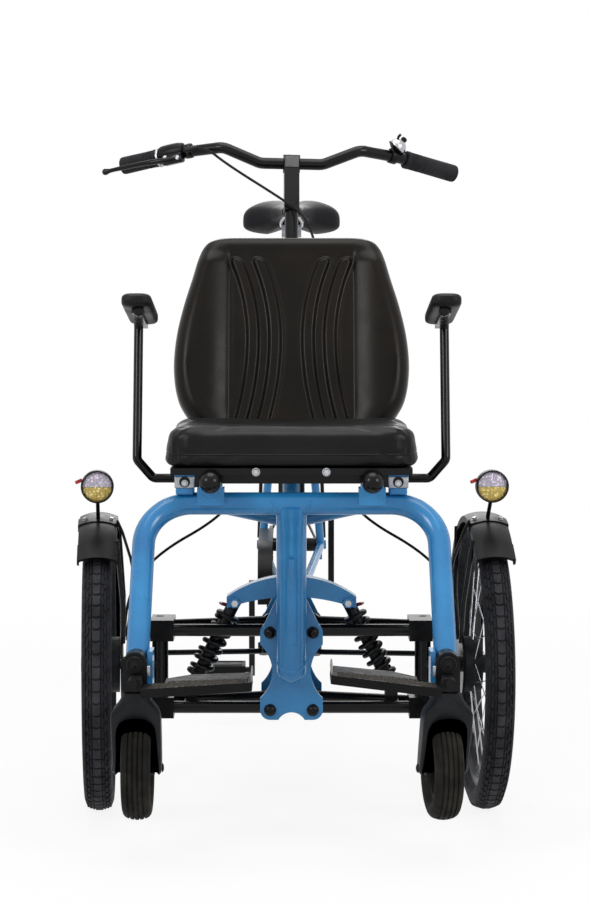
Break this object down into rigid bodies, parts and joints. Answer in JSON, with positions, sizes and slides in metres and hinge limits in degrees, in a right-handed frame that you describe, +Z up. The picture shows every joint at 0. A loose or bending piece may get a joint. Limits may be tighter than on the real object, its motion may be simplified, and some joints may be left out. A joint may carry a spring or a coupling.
{
  "type": "wheelchair bicycle",
  "caption": "Chair with padded seat and back on steered, sprung front wheels, with castors and folding footplates, pushed by a pedalled rear half with saddle and handlebar.",
  "frame": {"origin": "on the ground, below the centre of the overall box", "axes": "+Y to the rear, +X to the vehicle's left, +Z up; the vehicle faces -Y"},
  "size_m": [0.7526, 2.165, 1.2135],
  "materials": {
    "blue_paint": "gloss",
    "tyre": "matte",
    "vinyl": "satin",
    "rubber": "matte",
    "aluminium": "satin",
    "black_plastic": "matte",
    "lamp_lens": "gloss",
    "red_lens": "gloss",
    "black_metal": "gloss"
  },
  "bodies": {
    "frame": {"u_frame": "blue_paint", "centre_column": "blue_paint", "centre_plates": "blue_paint", "pivot_bolts": "black_metal", "upper_arms": "black_metal", "lower_arms": "black_metal", "shock_dampers": "black_metal", "shock_springs": "black_metal", "main_frame": "blue_paint", "rear_triangle": "blue_paint", "rear_mudguard": "black_plastic", "luggage_rack": "aluminium", "tail_lamp": "red_lens", "seat_post": "aluminium", "saddle": "vinyl", "chain": "black_metal", "chain_guard": "black_plastic", "seat_frame": "black_metal", "seat_brackets": "aluminium", "seat_cross_member": "blue_paint", "seat_knobs": "black_plastic", "seat_cushion": "vinyl", "backrest_cushion": "vinyl", "backrest_shell": "black_metal", "castor_housings": "black_plastic", "front_brake_cables": "rubber"},
    "handlebar": {"stem": "black_metal", "handlebar": "black_metal", "grips": "rubber", "bar_controls": "black_metal", "bar_cable": "rubber"},
    "cranks": {"cranks": "black_metal"},
    "rear_wheel": {"rear_wheel": "black_metal", "rear_tyre": "tyre"},
    "left_tie_rod": {"left_tie_rod": "black_metal"},
    "left_knuckle": {"left_knuckle": "black_metal", "left_mudguard": "black_plastic", "left_lamp": "lamp_lens"},
    "left_front_wheel": {"left_front_wheel": "black_metal", "left_front_tyre": "tyre"},
    "left_castor_fork": {"left_castor_fork": "black_plastic"},
    "left_castor_wheel": {"left_castor_wheel": "tyre"},
    "left_footplate": {"left_footplate": "black_plastic"},
    "left_armrest": {"left_armrest": "black_metal", "left_arm_pad": "rubber"},
    "left_pedal": {"left_pedal": "black_plastic"},
    "right_tie_rod": {"right_tie_rod": "black_metal"},
    "right_knuckle": {"right_knuckle": "black_metal", "right_mudguard": "black_plastic", "right_lamp": "lamp_lens"},
    "right_front_wheel": {"right_front_wheel": "black_metal", "right_front_tyre": "tyre"},
    "right_castor_fork": {"right_castor_fork": "black_plastic"},
    "right_castor_wheel": {"right_castor_wheel": "tyre"},
    "right_footplate": {"right_footplate": "black_plastic"},
    "right_armrest": {"right_armrest": "black_metal", "right_arm_pad": "rubber"},
    "right_pedal": {"right_pedal": "black_plastic"}
  },
  "joints": [
    {"name": "handlebar_steer", "type": "hinge", "parent": "frame", "child": "handlebar", "pos_m": [0, -0.29625, 0.60675], "axis": [0, 0.4067, 0.9135], "range_deg": [-23, 17], "deforming": ["bar_cable"]},
    {"name": "left_knuckle_steer", "type": "hinge", "parent": "frame", "child": "left_knuckle", "pos_m": [0.228, -0.5825, 0.25], "axis": [0, 0, 1], "range_deg": [-23, 17], "deforming": ["front_brake_cables"]},
    {"name": "left_tie_rod_pivot", "type": "hinge", "parent": "handlebar", "child": "left_tie_rod", "pos_m": [0.0438, -0.38936, 0.24428], "axis": [0, 0.4067, 0.9135], "range_deg": [-17, 23]},
    {"name": "left_front_wheel_spin", "type": "hinge", "parent": "left_knuckle", "child": "left_front_wheel", "pos_m": [0.33286, -0.577, 0.25], "axis": [0.9986, 0.0523, 0], "continuous": true},
    {"name": "left_castor_swivel", "type": "hinge", "parent": "frame", "child": "left_castor_fork", "pos_m": [0.245, -0.9975, 0.268], "axis": [0, 0, 1], "continuous": true},
    {"name": "left_castor_spin", "type": "hinge", "parent": "left_castor_fork", "child": "left_castor_wheel", "pos_m": [0.23988, -0.95581, 0.138], "axis": [0.9925, 0.1219, 0], "continuous": true},
    {"name": "left_footplate_fold", "type": "hinge", "parent": "frame", "child": "left_footplate", "pos_m": [0.246, -1.0498, 0.29], "axis": [0, 1, 0], "range_deg": [0, 82.5]},
    {"name": "left_armrest_fold", "type": "hinge", "parent": "frame", "child": "left_armrest", "pos_m": [0.174, -0.5825, 0.574], "axis": [-1, 0, 0], "range_deg": [0, 75]},
    {"name": "left_pedal_spin", "type": "hinge", "parent": "cranks", "child": "left_pedal", "pos_m": [0.142, 0.2675, 0.455], "axis": [1, 0, 0], "continuous": true},
    {"name": "right_knuckle_steer", "type": "hinge", "parent": "frame", "child": "right_knuckle", "pos_m": [-0.228, -0.5825, 0.25], "axis": [0, 0, 1], "range_deg": [-23, 17], "deforming": ["front_brake_cables"]},
    {"name": "right_tie_rod_pivot", "type": "hinge", "parent": "handlebar", "child": "right_tie_rod", "pos_m": [-0.05008, -0.39385, 0.24628], "axis": [0, 0.4067, 0.9135], "range_deg": [-17, 23]},
    {"name": "right_front_wheel_spin", "type": "hinge", "parent": "right_knuckle", "child": "right_front_wheel", "pos_m": [-0.33286, -0.588, 0.25], "axis": [0.9986, 0.0523, 0], "continuous": true},
    {"name": "right_castor_swivel", "type": "hinge", "parent": "frame", "child": "right_castor_fork", "pos_m": [-0.245, -0.9975, 0.268], "axis": [0, 0, 1], "continuous": true},
    {"name": "right_castor_spin", "type": "hinge", "parent": "right_castor_fork", "child": "right_castor_wheel", "pos_m": [-0.245, -0.9555, 0.138], "axis": [1, 0, 0], "continuous": true},
    {"name": "right_footplate_fold", "type": "hinge", "parent": "frame", "child": "right_footplate", "pos_m": [-0.246, -1.0498, 0.29], "axis": [0, -1, 0], "range_deg": [0, 86]},
    {"name": "right_armrest_fold", "type": "hinge", "parent": "frame", "child": "right_armrest", "pos_m": [-0.174, -0.5825, 0.574], "axis": [-1, 0, 0], "range_deg": [0, 75]},
    {"name": "right_pedal_spin", "type": "hinge", "parent": "cranks", "child": "right_pedal", "pos_m": [-0.142, 0.2675, 0.115], "axis": [1, 0, 0], "continuous": true},
    {"name": "crank_spin", "type": "hinge", "parent": "frame", "child": "cranks", "pos_m": [0, 0.2675, 0.285], "axis": [1, 0, 0], "continuous": true},
    {"name": "rear_wheel_spin", "type": "hinge", "parent": "frame", "child": "rear_wheel", "pos_m": [0, 0.7375, 0.33], "axis": [1, 0, 0], "continuous": true}
  ],
  "couplings": [
    {"joint": "left_knuckle_steer", "follows": "handlebar_steer", "ratio": 1},
    {"joint": "left_tie_rod_pivot", "follows": "handlebar_steer", "ratio": -1},
    {"joint": "right_knuckle_steer", "follows": "handlebar_steer", "ratio": 1},
    {"joint": "right_tie_rod_pivot", "follows": "handlebar_steer", "ratio": -1}
  ]
}
